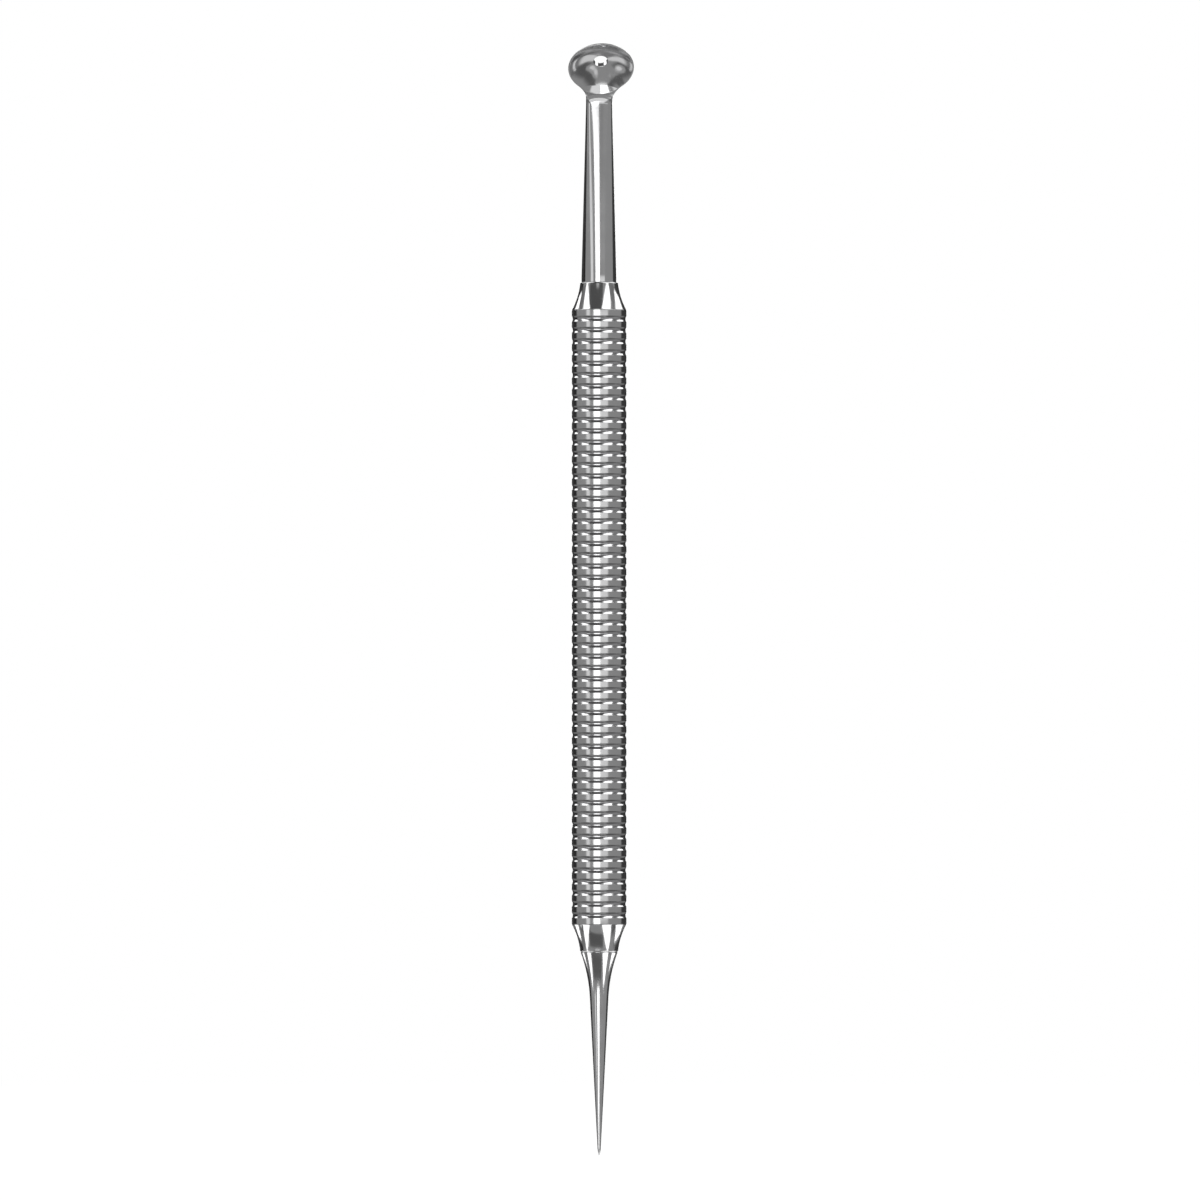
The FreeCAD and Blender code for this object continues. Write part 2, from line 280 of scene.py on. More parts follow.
def finish_mesh(mesh):
    """Point all faces outwards and shade them smooth. Broad faces weigh more at a corner than narrow ones, so
    that flats stay flat beside their rounded edges."""
    work = bmesh.new()
    work.from_mesh(mesh)
    bmesh.ops.recalc_face_normals(work, faces=work.faces)
    pulls = [face.normal * face.calc_area() for face in work.faces]
    for face in work.faces:
        face.smooth = True
    normals = []
    for corner in work.verts:
        pull = sum((pulls[face.index] for face in corner.link_faces), Vector())
        normals.append(pull.normalized())
    open_edges = [edge for edge in work.edges if not edge.is_manifold]
    work.to_mesh(mesh)
    work.free()
    if open_edges:
        raise RuntimeError(f"{mesh.name} has {len(open_edges)} open edges")
    mesh.normals_split_custom_set_from_vertices(normals)
    mesh.update()
    return mesh


def mesh_from(name, points, faces):
    mesh = bpy.data.meshes.new(name)
    mesh.from_pydata(points, [], faces)
    return finish_mesh(mesh)


def lathe(name, outline, segments):
    """Turn an outline of (radius, height) points about Z. It starts and ends on the axis."""
    points, rings = [], []
    for radius, height in outline:
        turns = segments if radius > 0 else 1
        rings.append([len(points) + turn for turn in range(turns)])
        for turn in range(turns):
            around = math.tau * turn / turns
            points.append((radius * math.cos(around), radius * math.sin(around), height))
    faces = []
    for lower, upper in zip(rings, rings[1:]):
        for turn in range(segments):
            corners = [ring[index % len(ring)] for ring, index in (
                (lower, turn), (lower, turn + 1), (upper, turn + 1), (upper, turn))]
            faces.append(list(dict.fromkeys(corners)))
    return mesh_from(name, points, faces)


def arc(start, end, radius, side, steps):
    """Points after start along an arc to end that bulges right of the way (side 1) or left (-1)."""
    start, end = Vector(start), Vector(end)
    way = end - start
    right = Vector((way.y, -way.x)).normalized() * side
    centre = (start + end) / 2 - right * math.sqrt(radius ** 2 - (way.length / 2) ** 2)
    spread = 2 * math.asin(way.length / 2 / radius)
    first = start - centre
    points = []
    for step in range(1, steps + 1):
        turn = side * spread * step / steps
        points.append((centre.x + first.x * math.cos(turn) - first.y * math.sin(turn),
                       centre.y + first.x * math.sin(turn) + first.y * math.cos(turn)))
    return points


def rounded(before, corner, after, radius, steps):
    """Points of a round on a corner between two straight or nearly straight runs."""
    before, corner, after = Vector(before), Vector(corner), Vector(after)
    back = (before - corner).normalized()
    ahead = (after - corner).normalized()
    half = back.angle(ahead) / 2
    reach = radius / math.tan(half)
    side = 1 if back.x * ahead.y - back.y * ahead.x < 0 else -1
    start = corner + back * reach
    return [tuple(start)] + arc(start, corner + ahead * reach, radius, side, steps)


def line(start, end, steps):
    """Evenly spaced points after start, up to end."""
    return [tuple(Vector(start).lerp(Vector(end), step / steps)) for step in range(1, steps + 1)]


ROUND_STEPS = 6
FLANK_STEPS = 36
CONE_STEPS = 48
TIP_BOW_SHARE = 1.2


def ferrule_outline(sizes):
    """Half outline of a collar with its shoulder at height 0 and its mouth up."""
    shoulder = (GRIP_HIGH.x, 0.0)
    mouth = (sizes.mouth_radius, sizes.length)
    lip = (sizes.socket_radius, sizes.length)
    spigot = sizes.spigot_radius
    flank = [shoulder] + arc(shoulder, mouth, sizes.trumpet_radius, -1, FLANK_STEPS)
    rounds = [
        rounded((spigot, 0.0), shoulder, flank[1], sizes.shoulder_round, ROUND_STEPS),
        rounded(flank[-2], mouth, lip, sizes.mouth_round, ROUND_STEPS),
    ]
    outline = [(0.0, -sizes.spigot_length), (spigot, -sizes.spigot_length), (spigot, 0.0)]
    outline += rounds[0]
    outline += [point for point in flank if rounds[0][-1][1] < point[1] < rounds[1][0][1]]
    outline += rounds[1]
    floor = sizes.length - sizes.socket_depth
    outline += [lip, (sizes.socket_radius, floor), (0.0, floor)]
    return outline


def needle_outline(sizes, reach):
    """Half outline of the needle with its seam at height 0 and its point up."""
    foot = (sizes.foot_radius, 0.0)
    cone = (sizes.cone_radius, sizes.flare_length)
    neck = (sizes.neck_radius, reach - sizes.point_length)
    tip = (sizes.point_radius, reach - sizes.point_radius)
    slope = math.atan((cone[0] - neck[0]) / (neck[1] - cone[1]))
    spread = foot[0] - cone[0]
    bow = spread * math.cos(slope) - cone[1] * math.sin(slope)
    flank = [foot] + arc(foot, cone, (cone[1] ** 2 + spread ** 2) / (2 * bow), -1, FLANK_STEPS)
    foot_edge = rounded((sizes.tang_radius, 0.0), foot, flank[1], sizes.foot_round, ROUND_STEPS)
    outline = [(0.0, -sizes.tang_length), (sizes.tang_radius, -sizes.tang_length), (sizes.tang_radius, 0.0)]
    outline += foot_edge
    outline += [point for point in flank if point[1] > foot_edge[-1][1]]
    outline += line(cone, neck, CONE_STEPS)
    outline += arc(neck, tip, sizes.point_bow, 1, FLANK_STEPS // 2)
    top = (0.0, reach)
    outline += arc(tip, top, sizes.point_radius * TIP_BOW_SHARE, 1, ROUND_STEPS)[:-1] + [top]
    return outline


def upside_down(outline, seam):
    """The outline moved to its seam at the needle end, pointing down."""
    return [(radius, seam - height) for radius, height in outline]


def raised(outline, seam):
    return [(radius, seam + height) for radius, height in outline]


# The grip's rings as geometry nodes

FILLET_STEPS = 2
# The middle of a groove's corners 0 to 3. The two beside it are on the floor
GROOVE_MIDDLE = 1.5


def corner_points(tree, corners, round_off):
    """Points at the corners, each with the radius of its round."""
    index = add_node(tree, "GeometryNodeInputIndex")
    switch = add_node(tree, "GeometryNodeIndexSwitch", {"Index": index}, data_type="VECTOR")
    for _ in range(len(corners) - len(switch.index_switch_items)):
        switch.index_switch_items.new()
    fill(tree, switch, dict(enumerate(corners, 1)))
    points = add_node(tree, "GeometryNodeMeshLine", {"Count": len(corners)})
    placed = add_node(tree, "GeometryNodeSetPosition", {"Geometry": points, "Position": switch})
    return add_node(tree, "GeometryNodeStoreNamedAttribute", {
        "Geometry": placed, "Name": "round_off", "Value": round_off}, data_type="FLOAT")


def ringed_tube_tree():
    """A tube with repeated rings: corners of a groove, copied down the tube, rounded and swept round."""
    tree = bpy.data.node_groups.new("Ringed tube", "GeometryNodeTree")
    tree.interface.new_socket(name="Geometry", in_out="OUTPUT", socket_type="NodeSocketGeometry")
    for name in ("Radius", "Bore Radius", "Half Length", "Ring Pitch", "Groove Width", "Groove Floor",
                 "Groove Depth", "Edge Round", "Floor Round"):
        tree.interface.new_socket(name=name, in_out="INPUT", socket_type="NodeSocketFloat")
    for name in ("Groove Count", "Segments"):
        tree.interface.new_socket(name=name, in_out="INPUT", socket_type="NodeSocketInt")
    tree.interface.new_socket(name="Material", in_out="INPUT", socket_type="NodeSocketMaterial")
    given = add_node(tree, "NodeGroupInput").outputs

    half_width = halved(tree, given["Groove Width"])
    half_floor = halved(tree, given["Groove Floor"])
    sunk = negative(tree, given["Groove Depth"])
    index = add_node(tree, "GeometryNodeInputIndex")
    from_middle = calculate(tree, "ABSOLUTE", calculate(tree, "SUBTRACT", index, GROOVE_MIDDLE))
    on_floor = calculate(tree, "LESS_THAN", from_middle, 1.0)
    round_off = add_node(tree, "ShaderNodeMix", {
        "Factor": on_floor, "A": given["Edge Round"], "B": given["Floor Round"]})
    groove = corner_points(tree, [
        combine(tree, 0.0, half_width),
        combine(tree, sunk, half_floor),
        combine(tree, sunk, negative(tree, half_floor)),
        combine(tree, 0.0, negative(tree, half_width)),
    ], round_off)

    steps = calculate(tree, "SUBTRACT", given["Groove Count"], 1.0)
    top = halved(tree, calculate(tree, "MULTIPLY", steps, given["Ring Pitch"]))
    places = add_node(tree, "GeometryNodeMeshLine", {
        "Count": given["Groove Count"],
        "Start Location": combine(tree, 0.0, top),
        "Offset": combine(tree, 0.0, negative(tree, given["Ring Pitch"])),
    })
    copies = add_node(tree, "GeometryNodeInstanceOnPoints", {"Points": places, "Instance": groove})
    grooves = add_node(tree, "GeometryNodeRealizeInstances", {"Geometry": copies})

    inside = calculate(tree, "SUBTRACT", given["Bore Radius"], given["Radius"])
    low = negative(tree, given["Half Length"])
    ends = corner_points(tree, [
        combine(tree, 0.0, low),
        combine(tree, inside, low),
        combine(tree, inside, given["Half Length"]),
        combine(tree, 0.0, given["Half Length"]),
    ], given["Edge Round"])

    corners = add_node(tree, "GeometryNodeJoinGeometry")
    for part in (ends, grooves):
        fill(tree, corners, {0: part})
    loose = add_node(tree, "GeometryNodeMeshToPoints", {"Mesh": corners})
    outline = add_node(tree, "GeometryNodePointsToCurves", {"Points": loose})
    closed = add_node(tree, "GeometryNodeSetSplineCyclic", {"Geometry": outline, "Cyclic": True})
    named = add_node(tree, "GeometryNodeInputNamedAttribute", {"Name": "round_off"}, data_type="FLOAT")
    soft = add_node(tree, "GeometryNodeFilletCurve", {
        "Curve": closed, "Radius": named, "Count": FILLET_STEPS, "Limit Radius": True}, mode="POLY")
    path = add_node(tree, "GeometryNodeCurvePrimitiveCircle", {
        "Resolution": given["Segments"], "Radius": given["Radius"]}, mode="RADIUS")
    swept = add_node(tree, "GeometryNodeCurveToMesh", {"Curve": path, "Profile Curve": soft})
    whole = add_node(tree, "GeometryNodeRealizeInstances", {"Geometry": swept})
    dressed = add_node(tree, "GeometryNodeSetMaterial", {"Geometry": whole, "Material": given["Material"]})
    add_node(tree, "NodeGroupOutput", {"Geometry": dressed})
    return tree


def ringed_tube(sizes, material):
    """The finished mesh of the grip. Each input of its nodes is named like the setting that fills it."""
    maker = add_object("grip_maker", bpy.data.meshes.new("grip_maker"))
    modifier = maker.modifiers.new("Ringed tube", "NODES")
    modifier.node_group = ringed_tube_tree()
    for socket in modifier.node_group.interface.items_tree:
        if socket.in_out == "INPUT":
            setting = socket.name.lower().replace(" ", "_")
            modifier[socket.identifier] = material if setting == "material" else getattr(sizes, setting)
    depsgraph = bpy.context.evaluated_depsgraph_get()
    mesh = bpy.data.meshes.new_from_object(maker.evaluated_get(depsgraph))
    mesh.name = "grip"
    bpy.data.objects.remove(maker)
    return finish_mesh(mesh)


# The spoon's form

HALVINGS = 40
CREASE_GAP = 0.03 * MM
# What is left of the side wall and of the extra thickness at the end, middle and start of the bend
WALL_SHARES = (0.38, 0.62, 1.0)
EXTRA_SHARES = (0.5, 0.75, 1.0)


class SpoonForm:
    """Curves of the spoon. On the rim plane, across is sideways, below runs from the bowl's middle down to
    the neck, and depth runs into the steel."""

    def __init__(self, sizes, seam):
        self.sizes = sizes
        self.seam = seam
        self.shank_front = sizes.neck_thickness / 2
        self.neck_half = sizes.neck_width / 2
        self.neck_side = sizes.neck_thickness - sizes.neck_crown
        sine, cosine = math.sin(sizes.bowl_tilt), math.cos(sizes.bowl_tilt)
        self.down = Vector((0.0, sine, -cosine))
        self.into = Vector((0.0, cosine, sine))
        front = self.shank_front + sizes.bend_radius * (1 - cosine) + sizes.neck_reach * sine
        rise = sizes.shank_length + sizes.bend_radius * sine + sizes.neck_reach * cosine
        self.middle = Vector((0.0, -front, seam + rise))
        self.flare_length = sizes.neck_reach + sizes.bend_radius * sizes.bowl_tilt
        gain = sizes.bowl_radius - self.neck_half
        self.flare_radius = (self.flare_length ** 2 / gain - sizes.bowl_radius - self.neck_half) / 2
        self.flare_centre = self.neck_half + self.flare_radius
        self.flare_top = self.flare_length * sizes.bowl_radius / (sizes.bowl_radius + self.flare_radius)
        self.rim_radius = sizes.bowl_radius - sizes.rim_round
        self.dome_height = sizes.cavity_depth + sizes.bowl_wall
        self.cavity_rim = sizes.bowl_radius - sizes.rim_land
        self.cavity_radius = (self.cavity_rim ** 2 + sizes.cavity_depth ** 2) / (2 * sizes.cavity_depth)
        self.cavity_centre = self.cavity_radius - sizes.cavity_depth
        self.throat_below = sizes.throat_reach - sizes.throat_round

    def place(self, across, below, depth):
        """A point of the tool, from its place on the rim plane."""
        return self.middle + Vector((across, 0.0, 0.0)) + self.down * below + self.into * depth

    def half_width(self, below, inset=0.0):
        """Half the width of the outline, or of a line inset from it."""
        rim = self.sizes.bowl_radius - inset
        turn = rim / self.sizes.bowl_radius * self.flare_top
        if below < turn:
            return math.sqrt(max(rim ** 2 - below ** 2, 0.0))
        left = self.flare_length - below
        return self.flare_centre - math.sqrt((self.flare_radius + inset) ** 2 - left ** 2)

    def outline_normal(self, across, below):
        """The way out of the outline, across and below."""
        if below < self.flare_top:
            out = Vector((across, below))
        else:
            side = math.copysign(1.0, across)
            out = Vector((side * self.flare_centre - across, self.flare_length - below))
        return out.normalized()

    def stretch(self, across, below):
        """How much further than its round rim the hollow runs that way."""
        aside = math.atan2(abs(across), below) / self.sizes.throat_spread
        return 1 + self.sizes.throat_stretch * math.cos(min(aside, 1.0) * math.pi / 2) ** 2

    def dish_depth(self, across, below):
        """Depth of the bowl's round floor, drawn out towards the neck."""
        span = math.hypot(across, below) / self.stretch(across, below)
        return math.sqrt(max(self.cavity_radius ** 2 - span ** 2, 0.0)) - self.cavity_centre

    def throat_depth(self, across, below):
        """Depth of the leaning wall that ends the hollow towards the neck."""
        sizes = self.sizes
        if math.atan2(abs(across), below) > sizes.throat_spread:
            return math.inf
        inside = sizes.throat_round - math.hypot(across, below - self.throat_below)
        return inside * math.tan(sizes.throat_slope)

    def front_depth(self, across, below):
        """Depth of the front: the bowl's floor, the throat's wall or the flat rim."""
        return max(min(self.dish_depth(across, below), self.throat_depth(across, below)), 0.0)

    def wall_height(self, below):
        """Height of the side wall between the front and the crowned back."""
        sizes = self.sizes
        left = max(below - self.flare_top, 0.0) / (sizes.neck_reach - self.flare_top)
        return sizes.rim_thickness + WALL_SHARES[0] * left ** 2 * (self.neck_side - sizes.rim_thickness)

    def back_depth(self, across, below):
        """Depth of the crowned back."""
        sizes = self.sizes
        if below < 0.0:
            across, below = math.hypot(across, below), 0.0
        if below < self.flare_top:
            swing = math.cos(math.pi * below / self.flare_top)
            depth = (self.dome_height + sizes.neck_waist + (self.dome_height - sizes.neck_waist) * swing) / 2
        else:
            left = (below - self.flare_top) / (sizes.neck_reach - self.flare_top)
            depth = sizes.neck_waist + EXTRA_SHARES[0] * left ** 2 * (sizes.neck_thickness - sizes.neck_waist)
        half = self.half_width(below, sizes.rim_round)
        return depth - crown(half, depth - self.wall_height(below), across)

    def hollow_edge(self, way):
        """Where a line from the bowl's middle meets the foot of the throat's wall, and where it leaves the
        hollow."""
        edge = self.cavity_rim * self.stretch(*way)
        if self.throat_depth(*way) < math.inf:
            aside = self.throat_below * way.x
            edge = min(edge, self.throat_below * way.y + math.sqrt(self.sizes.throat_round ** 2 - aside ** 2))
        low, high = self.sizes.hole_radius, edge
        for _ in range(HALVINGS):
            middle = (low + high) / 2
            if self.dish_depth(*(way * middle)) < self.throat_depth(*(way * middle)):
                low = middle
            else:
                high = middle
        return min(low, edge - CREASE_GAP), edge


def crown(half, rise, across):
    """Drop of an arc of that half chord and rise, from its top, at a distance across."""
    radius = (half ** 2 + rise ** 2) / (2 * rise)
    return radius - math.sqrt(max(radius ** 2 - across ** 2, 0.0))


def swell(chord, rise, along_share):
    """Height of a shallow arc over its chord, at a share of the way along it."""
    if rise <= 0.0:
        return 0.0
    return rise - crown(chord / 2, rise, (along_share - 0.5) * chord)


def through(values, along):
    """The parabola through three values at 0, a half and 1."""
    first, middle, last = values
    bend = 2 * (first + last - 2 * middle)
    return first + (last - first - bend) * along + bend * along ** 2


# Shares of the way across the front, and up a side wall, closer together beside the edges
FRONT_SHARES = (0.0, 0.015, 0.04, 0.08, 0.14, 0.21, 0.28, 0.35, 0.42, 0.5,
                0.58, 0.65, 0.72, 0.79, 0.86, 0.92, 0.96, 0.985, 1.0)
WALL_STEP_SHARES = (0.0, 0.04, 0.12, 0.28, 0.5, 0.72, 0.88, 0.96, 1.0)
FLARE_STEPS = 18
RIM_STEPS = 180
DISH_STEPS = 44
WALL_STEPS = 12
LAND_STEPS = 4
BACK_STEPS = 34
EDGE_STEPS = 5
BEND_STEPS = 18
SHANK_STEPS = 64


class MeshGrid:
    """Collects points and the faces between rows of them."""

    def __init__(self):
        self.points = []
        self.faces = []

    def row(self, points):
        start = len(self.points)
        self.points.extend(points)
        return list(range(start, len(self.points)))

    def skin(self, rows, closed):
        for row, following in zip(rows, rows[1:]):
            self.bridge(row, following, closed)

    def bridge(self, row, following, closed):
        last = len(row) if closed else len(row) - 1
        for step in range(last):
            ahead = (step + 1) % len(row)
            self.faces.append((row[step], row[ahead], following[ahead], following[step]))


def head_outline(form):
    """Inset outline of the head: across the gate to the neck, up one flare, round the rim, down the other."""
    sizes = form.sizes
    gate_half = form.half_width(sizes.neck_reach, sizes.rim_round)
    gate = [Vector((gate_half * (1 - 2 * part), sizes.neck_reach)) for part in FRONT_SHARES]
    rim_turn = form.flare_top * form.rim_radius / sizes.bowl_radius
    flare = []
    for step in range(1, FLARE_STEPS):
        below = sizes.neck_reach + (rim_turn - sizes.neck_reach) * step / FLARE_STEPS
        flare.append(Vector((-form.half_width(below, sizes.rim_round), below)))
    spread = math.acos(rim_turn / form.rim_radius)
    rim = []
    for step in range(RIM_STEPS + 1):
        turn = spread + (math.tau - 2 * spread) * step / RIM_STEPS
        rim.append(Vector((-form.rim_radius * math.sin(turn), form.rim_radius * math.cos(turn))))
    other = [Vector((-point.x, point.y)) for point in reversed(flare)]
    return gate + flare + rim + other


def hole_edge_steps(sizes):
    """Steps round an edge of the hole: how far out from its wall, and how far from the surface."""
    for step in range(EDGE_STEPS + 1):
        turn = math.pi / 2 * step / EDGE_STEPS
        yield sizes.hole_round * (1 - math.sin(turn)), sizes.hole_round * (1 - math.cos(turn))


def head_face(form, grid, edge, depth_at, steps_at, sign):
    """Rows of one face of the head, from its outline in to the wall of the hole."""
    sizes = form.sizes
    ways = [point.normalized() for point in edge]
    columns = [steps_at(way, point.length) for way, point in zip(ways, edge)]
    rows = []
    for reaches in zip(*columns):
        spots = [way * reach for way, reach in zip(ways, reaches)]
        rows.append(grid.row([form.place(spot.x, spot.y, depth_at(spot.x, spot.y)) for spot in spots]))
    start = sizes.hole_radius + sizes.hole_round
    for out, off in list(hole_edge_steps(sizes))[1:]:
        spots = [(way * (sizes.hole_radius + out), depth_at(*(way * start))) for way in ways]
        rows.append(grid.row([form.place(spot.x, spot.y, depth + sign * off) for spot, depth in spots]))
    return rows


def even_steps(start, end, steps):
    return [start + (end - start) * step / steps for step in range(steps)]


def make_head(form, grid):
    """The bowl, throat and flared neck. Returns the ring of points at the gate to the bend."""
    sizes = form.sizes
    edge = head_outline(form)
    hole_start = sizes.hole_radius + sizes.hole_round

    def front_steps(way, reach):
        crease, hollow = form.hollow_edge(way)
        return (even_steps(reach, hollow, LAND_STEPS) + even_steps(hollow, crease, WALL_STEPS)
                + even_steps(crease, hole_start, DISH_STEPS) + [hole_start])

    def back_steps(way, reach):
        return even_steps(reach, hole_start, BACK_STEPS) + [hole_start]

    front = head_face(form, grid, edge, form.front_depth, front_steps, 1)
    back = head_face(form, grid, edge, form.back_depth, back_steps, -1)
    grid.skin(front, closed=True)
    grid.skin(back, closed=True)
    grid.bridge(front[-1], back[-1], closed=True)

    last_gate = len(FRONT_SHARES) - 1
    rim = list(range(last_gate, len(edge))) + [0]
    wall = [[front[0][column] for column in rim]]
    for part in WALL_STEP_SHARES[1:-1]:
        row = []
        for column in rim:
            spot = edge[column]
            height = form.wall_height(spot.y)
            out = form.outline_normal(*spot) * swell(height, sizes.rim_round, part)
            row.append(form.place(spot.x + out.x, spot.y + out.y, height * part))
        wall.append(grid.row(row))
    wall.append([back[0][column] for column in rim])
    grid.skin(wall, closed=False)

    left_wall = [row[0] for row in wall[1:-1]]
    right_wall = [row[-1] for row in wall[1:-1]]
    gate_front = front[0][:last_gate + 1]
    gate_back = back[0][:last_gate + 1]
    return gate_front + left_wall + gate_back[::-1] + right_wall[::-1]


def soften(before, after, reach):
    """Round the corner where one run of points ends and the next one starts."""
    corner = before[-1]
    start = corner + (before[-2] - corner).normalized() * reach
    end = corner + (after[1] - corner).normalized() * reach

    def on_curve(point, side):
        gap = (point - corner).length / reach
        if gap >= 1.0:
            return point
        part = (1 + side * gap) / 2
        return start * (1 - part) ** 2 + corner * 2 * part * (1 - part) + end * part ** 2

    before[:] = [on_curve(point, -1) for point in before]
    after[:] = [on_curve(point, 1) for point in after]


def section(front_half, front_rise, height, wall_rise, back_rise, edge_reach):
    """A section of the neck or shank, (across, depth), in the order of the gate's ring."""
    width = 2 * front_half
    front, back = [], []
    for part in FRONT_SHARES:
        across = front_half * (1 - 2 * part)
        front.append(Vector((across, -swell(width, front_rise, part))))
        back.append(Vector((-across, height + swell(width, back_rise, part))))
    right, left = [], []
    for part in WALL_STEP_SHARES:
        out = front_half + swell(height, wall_rise, part)
        left.append(Vector((-out, height * part)))
        right.append(Vector((out, height * (1 - part))))
    if edge_reach > 0.0:
        for before, after in ((front, left), (left, back), (back, right), (right, front)):
            soften(before, after, edge_reach)
    return front + left[1:-1] + back + right[1:-1]


def bend_ring(form, along):
    """Points of a section of the bend, along from its end at the rim plane (0) to its start (1)."""
    sizes = form.sizes
    turn = sizes.bowl_tilt * (1 - along)
    below = sizes.neck_reach + sizes.bend_radius * sizes.bowl_tilt * along
    side_round = sizes.rim_round + (sizes.neck_round - sizes.rim_round) * along
    height = sizes.rim_thickness + through(WALL_SHARES, along) * (form.neck_side - sizes.rim_thickness)
    depth = sizes.neck_waist + through(EXTRA_SHARES, along) * (sizes.neck_thickness - sizes.neck_waist)
    front = Vector((0.0, -form.shank_front - sizes.bend_radius * (1 - math.cos(turn)),
                    form.seam + sizes.shank_length + sizes.bend_radius * math.sin(turn)))
    into = Vector((0.0, math.cos(turn), math.sin(turn)))
    rise = sizes.face_crown * along
    outline = section(form.half_width(below) - side_round, rise, height - rise, side_round, depth - height,
                      sizes.edge_round * along)
    return [front + Vector((across, 0.0, 0.0)) + into * (deep + rise) for across, deep in outline]


def foot_ring(form, radius, height):
    """A round section in the order of the gate's ring."""
    half = radius * math.sin(math.pi / 4)
    outline = section(half, radius - half, 2 * half, radius - half, radius - half, 0.0)
    return [Vector((across, deep - half, form.seam + height)) for across, deep in outline]


def bowed(start, end, along, bow):
    """A point on the way from start to end whose depth runs ahead of its height."""
    point = start.lerp(end, along)
    point.y += bow * along * (1 - along) * (end.y - start.y)
    return point


def make_spoon_mesh(sizes, seam):
    form = SpoonForm(sizes, seam)
    grid = MeshGrid()
    rings = [make_head(form, grid)]
    for step in range(1, BEND_STEPS + 1):
        rings.append(grid.row(bend_ring(form, step / BEND_STEPS)))
    top = bend_ring(form, 1.0)
    foot = foot_ring(form, sizes.shank_radius, sizes.foot_length)
    for step in range(1, SHANK_STEPS + 1):
        along = step / SHANK_STEPS
        rings.append(grid.row([bowed(start, end, along, sizes.shank_bow) for start, end in zip(top, foot)]))
    for step in range(ROUND_STEPS + 1):
        turn = math.pi / 2 * step / ROUND_STEPS
        radius = sizes.shank_radius - sizes.foot_round * (1 - math.cos(turn))
        rings.append(grid.row(foot_ring(form, radius, sizes.foot_round * (1 - math.sin(turn)))))
    rings.append(grid.row(foot_ring(form, sizes.tang_radius, 0.0)))
    rings.append(grid.row(foot_ring(form, sizes.tang_radius, -sizes.tang_length)))
    grid.skin(rings, closed=True)
    end = grid.row([Vector((0.0, 0.0, seam - sizes.tang_length))])[0]
    last = rings[-1]
    grid.faces.extend((last[step], last[(step + 1) % len(last)], end) for step in range(len(last)))
    return mesh_from("spoon", grid.points, grid.faces)


# Steel

# How often the polishing lines change in a millimetre across and along the tool, and how high they stand
TURNED_LINES = (0.6, 0.6, 22.0)
DRAWN_LINES = (9.0, 9.0, 0.5)
LINE_RELIEF = 0.0004 * MM
# The same for cloudy patches, the part of the noise that they use, their tone, and how far the polish varies
CLOUDS = (0.35, 0.35, 0.35)
CLOUD_RANGE = (0.3, 0.7)
CLOUD_SHADE = 0.95
POLISH_WEAR = 0.03
# How deep in a groove its painted shade starts, as a share of its depth
GROOVE_SHADE_START = 0.25


def new_material(name):
    material = bpy.data.materials.new(name)
    material.use_nodes = True
    material.node_tree.nodes.clear()
    return material, material.node_tree


def noise(tree, changes, detail):
    """Noise in the piece's own coordinates, with so many changes in a millimetre along X, Y and Z."""
    place = add_node(tree, "ShaderNodeTexCoord").outputs["Object"]
    scaled = add_node(tree, "ShaderNodeMapping", {"Vector": place, "Scale": [part / MM for part in changes]})
    return add_node(tree, "ShaderNodeTexNoise", {"Vector": scaled, "Scale": 1.0, "Detail": detail})


def between(tree, value, low, high, from_low=0.0, from_high=1.0):
    """Map a value from its own range to low and high."""
    return add_node(tree, "ShaderNodeMapRange", {
        "Value": value, "From Min": from_low, "From Max": from_high, "To Min": low, "To Max": high})


def mixed(tree, factor, first, second):
    """Mix two colours. Sockets 0, 6 and 7 are the factor and the colours."""
    return add_node(tree, "ShaderNodeMix", {0: factor, 6: first, 7: second}, data_type="RGBA").outputs[2]


def darker(tone, part):
    return (tone[0] * part, tone[1] * part, tone[2] * part, 1.0)


def polished_steel(name, tone, roughness, line_changes):
    """Steel with faint polishing lines, a cloudy polish and small uneven tone."""
    material, tree = new_material(name)
    cloud = between(tree, noise(tree, CLOUDS, detail=2.0), 0.0, 1.0, *CLOUD_RANGE)
    lines = noise(tree, line_changes, detail=4.0)
    shade = mixed(tree, cloud, darker(tone, CLOUD_SHADE), tone[:])
    wear = calculate(tree, "ADD", between(tree, cloud, -POLISH_WEAR, POLISH_WEAR),
                     between(tree, lines, -POLISH_WEAR, POLISH_WEAR))
    rough = calculate(tree, "ADD", wear, roughness)
    bump = add_node(tree, "ShaderNodeBump", {"Height": lines, "Distance": LINE_RELIEF, "Strength": 1.0})
    shader = add_node(tree, "ShaderNodeBsdfPrincipled", {
        "Base Color": shade, "Metallic": 1.0, "Roughness": rough, "Normal": bump})
    add_node(tree, "ShaderNodeOutputMaterial", {"Surface": shader})
    return material, tree, shade, shader


def grip_steel(finish, sizes):
    """Turned steel with painted shade in the grooves between the polished rings: their colour darkens towards
    each groove's floor.
    """
    material, tree, shade, shader = polished_steel(
        "grip_steel", finish.grip_colour, finish.grip_roughness, TURNED_LINES)
    place = add_node(tree, "ShaderNodeTexCoord").outputs["Object"]
    parts = add_node(tree, "ShaderNodeSeparateXYZ", {0: place}).outputs
    out = calculate(tree, "SQRT", calculate(tree, "ADD", calculate(tree, "MULTIPLY", parts[0], parts[0]),
                                            calculate(tree, "MULTIPLY", parts[1], parts[1])))
    # Painted shade: the steel's colour darkens towards each groove's floor.
    sunk = between(tree, out, 1.0, 0.0, sizes.radius - sizes.groove_depth,
                   sizes.radius - sizes.groove_depth * GROOVE_SHADE_START)
    fill(tree, shader, {"Base Color": mixed(tree, sunk, shade, finish.groove_shade_colour[:])})
    return material


# Stage

# Half the floor's side in metres, how white it looks near the tool, and where it fades to full white
FLOOR_HALF = 6.0
FLOOR_WHITE_SHARE = 0.7
FLOOR_FADE = (0.12, 0.6)
WHITE = (1.0, 1.0, 1.0, 1.0)


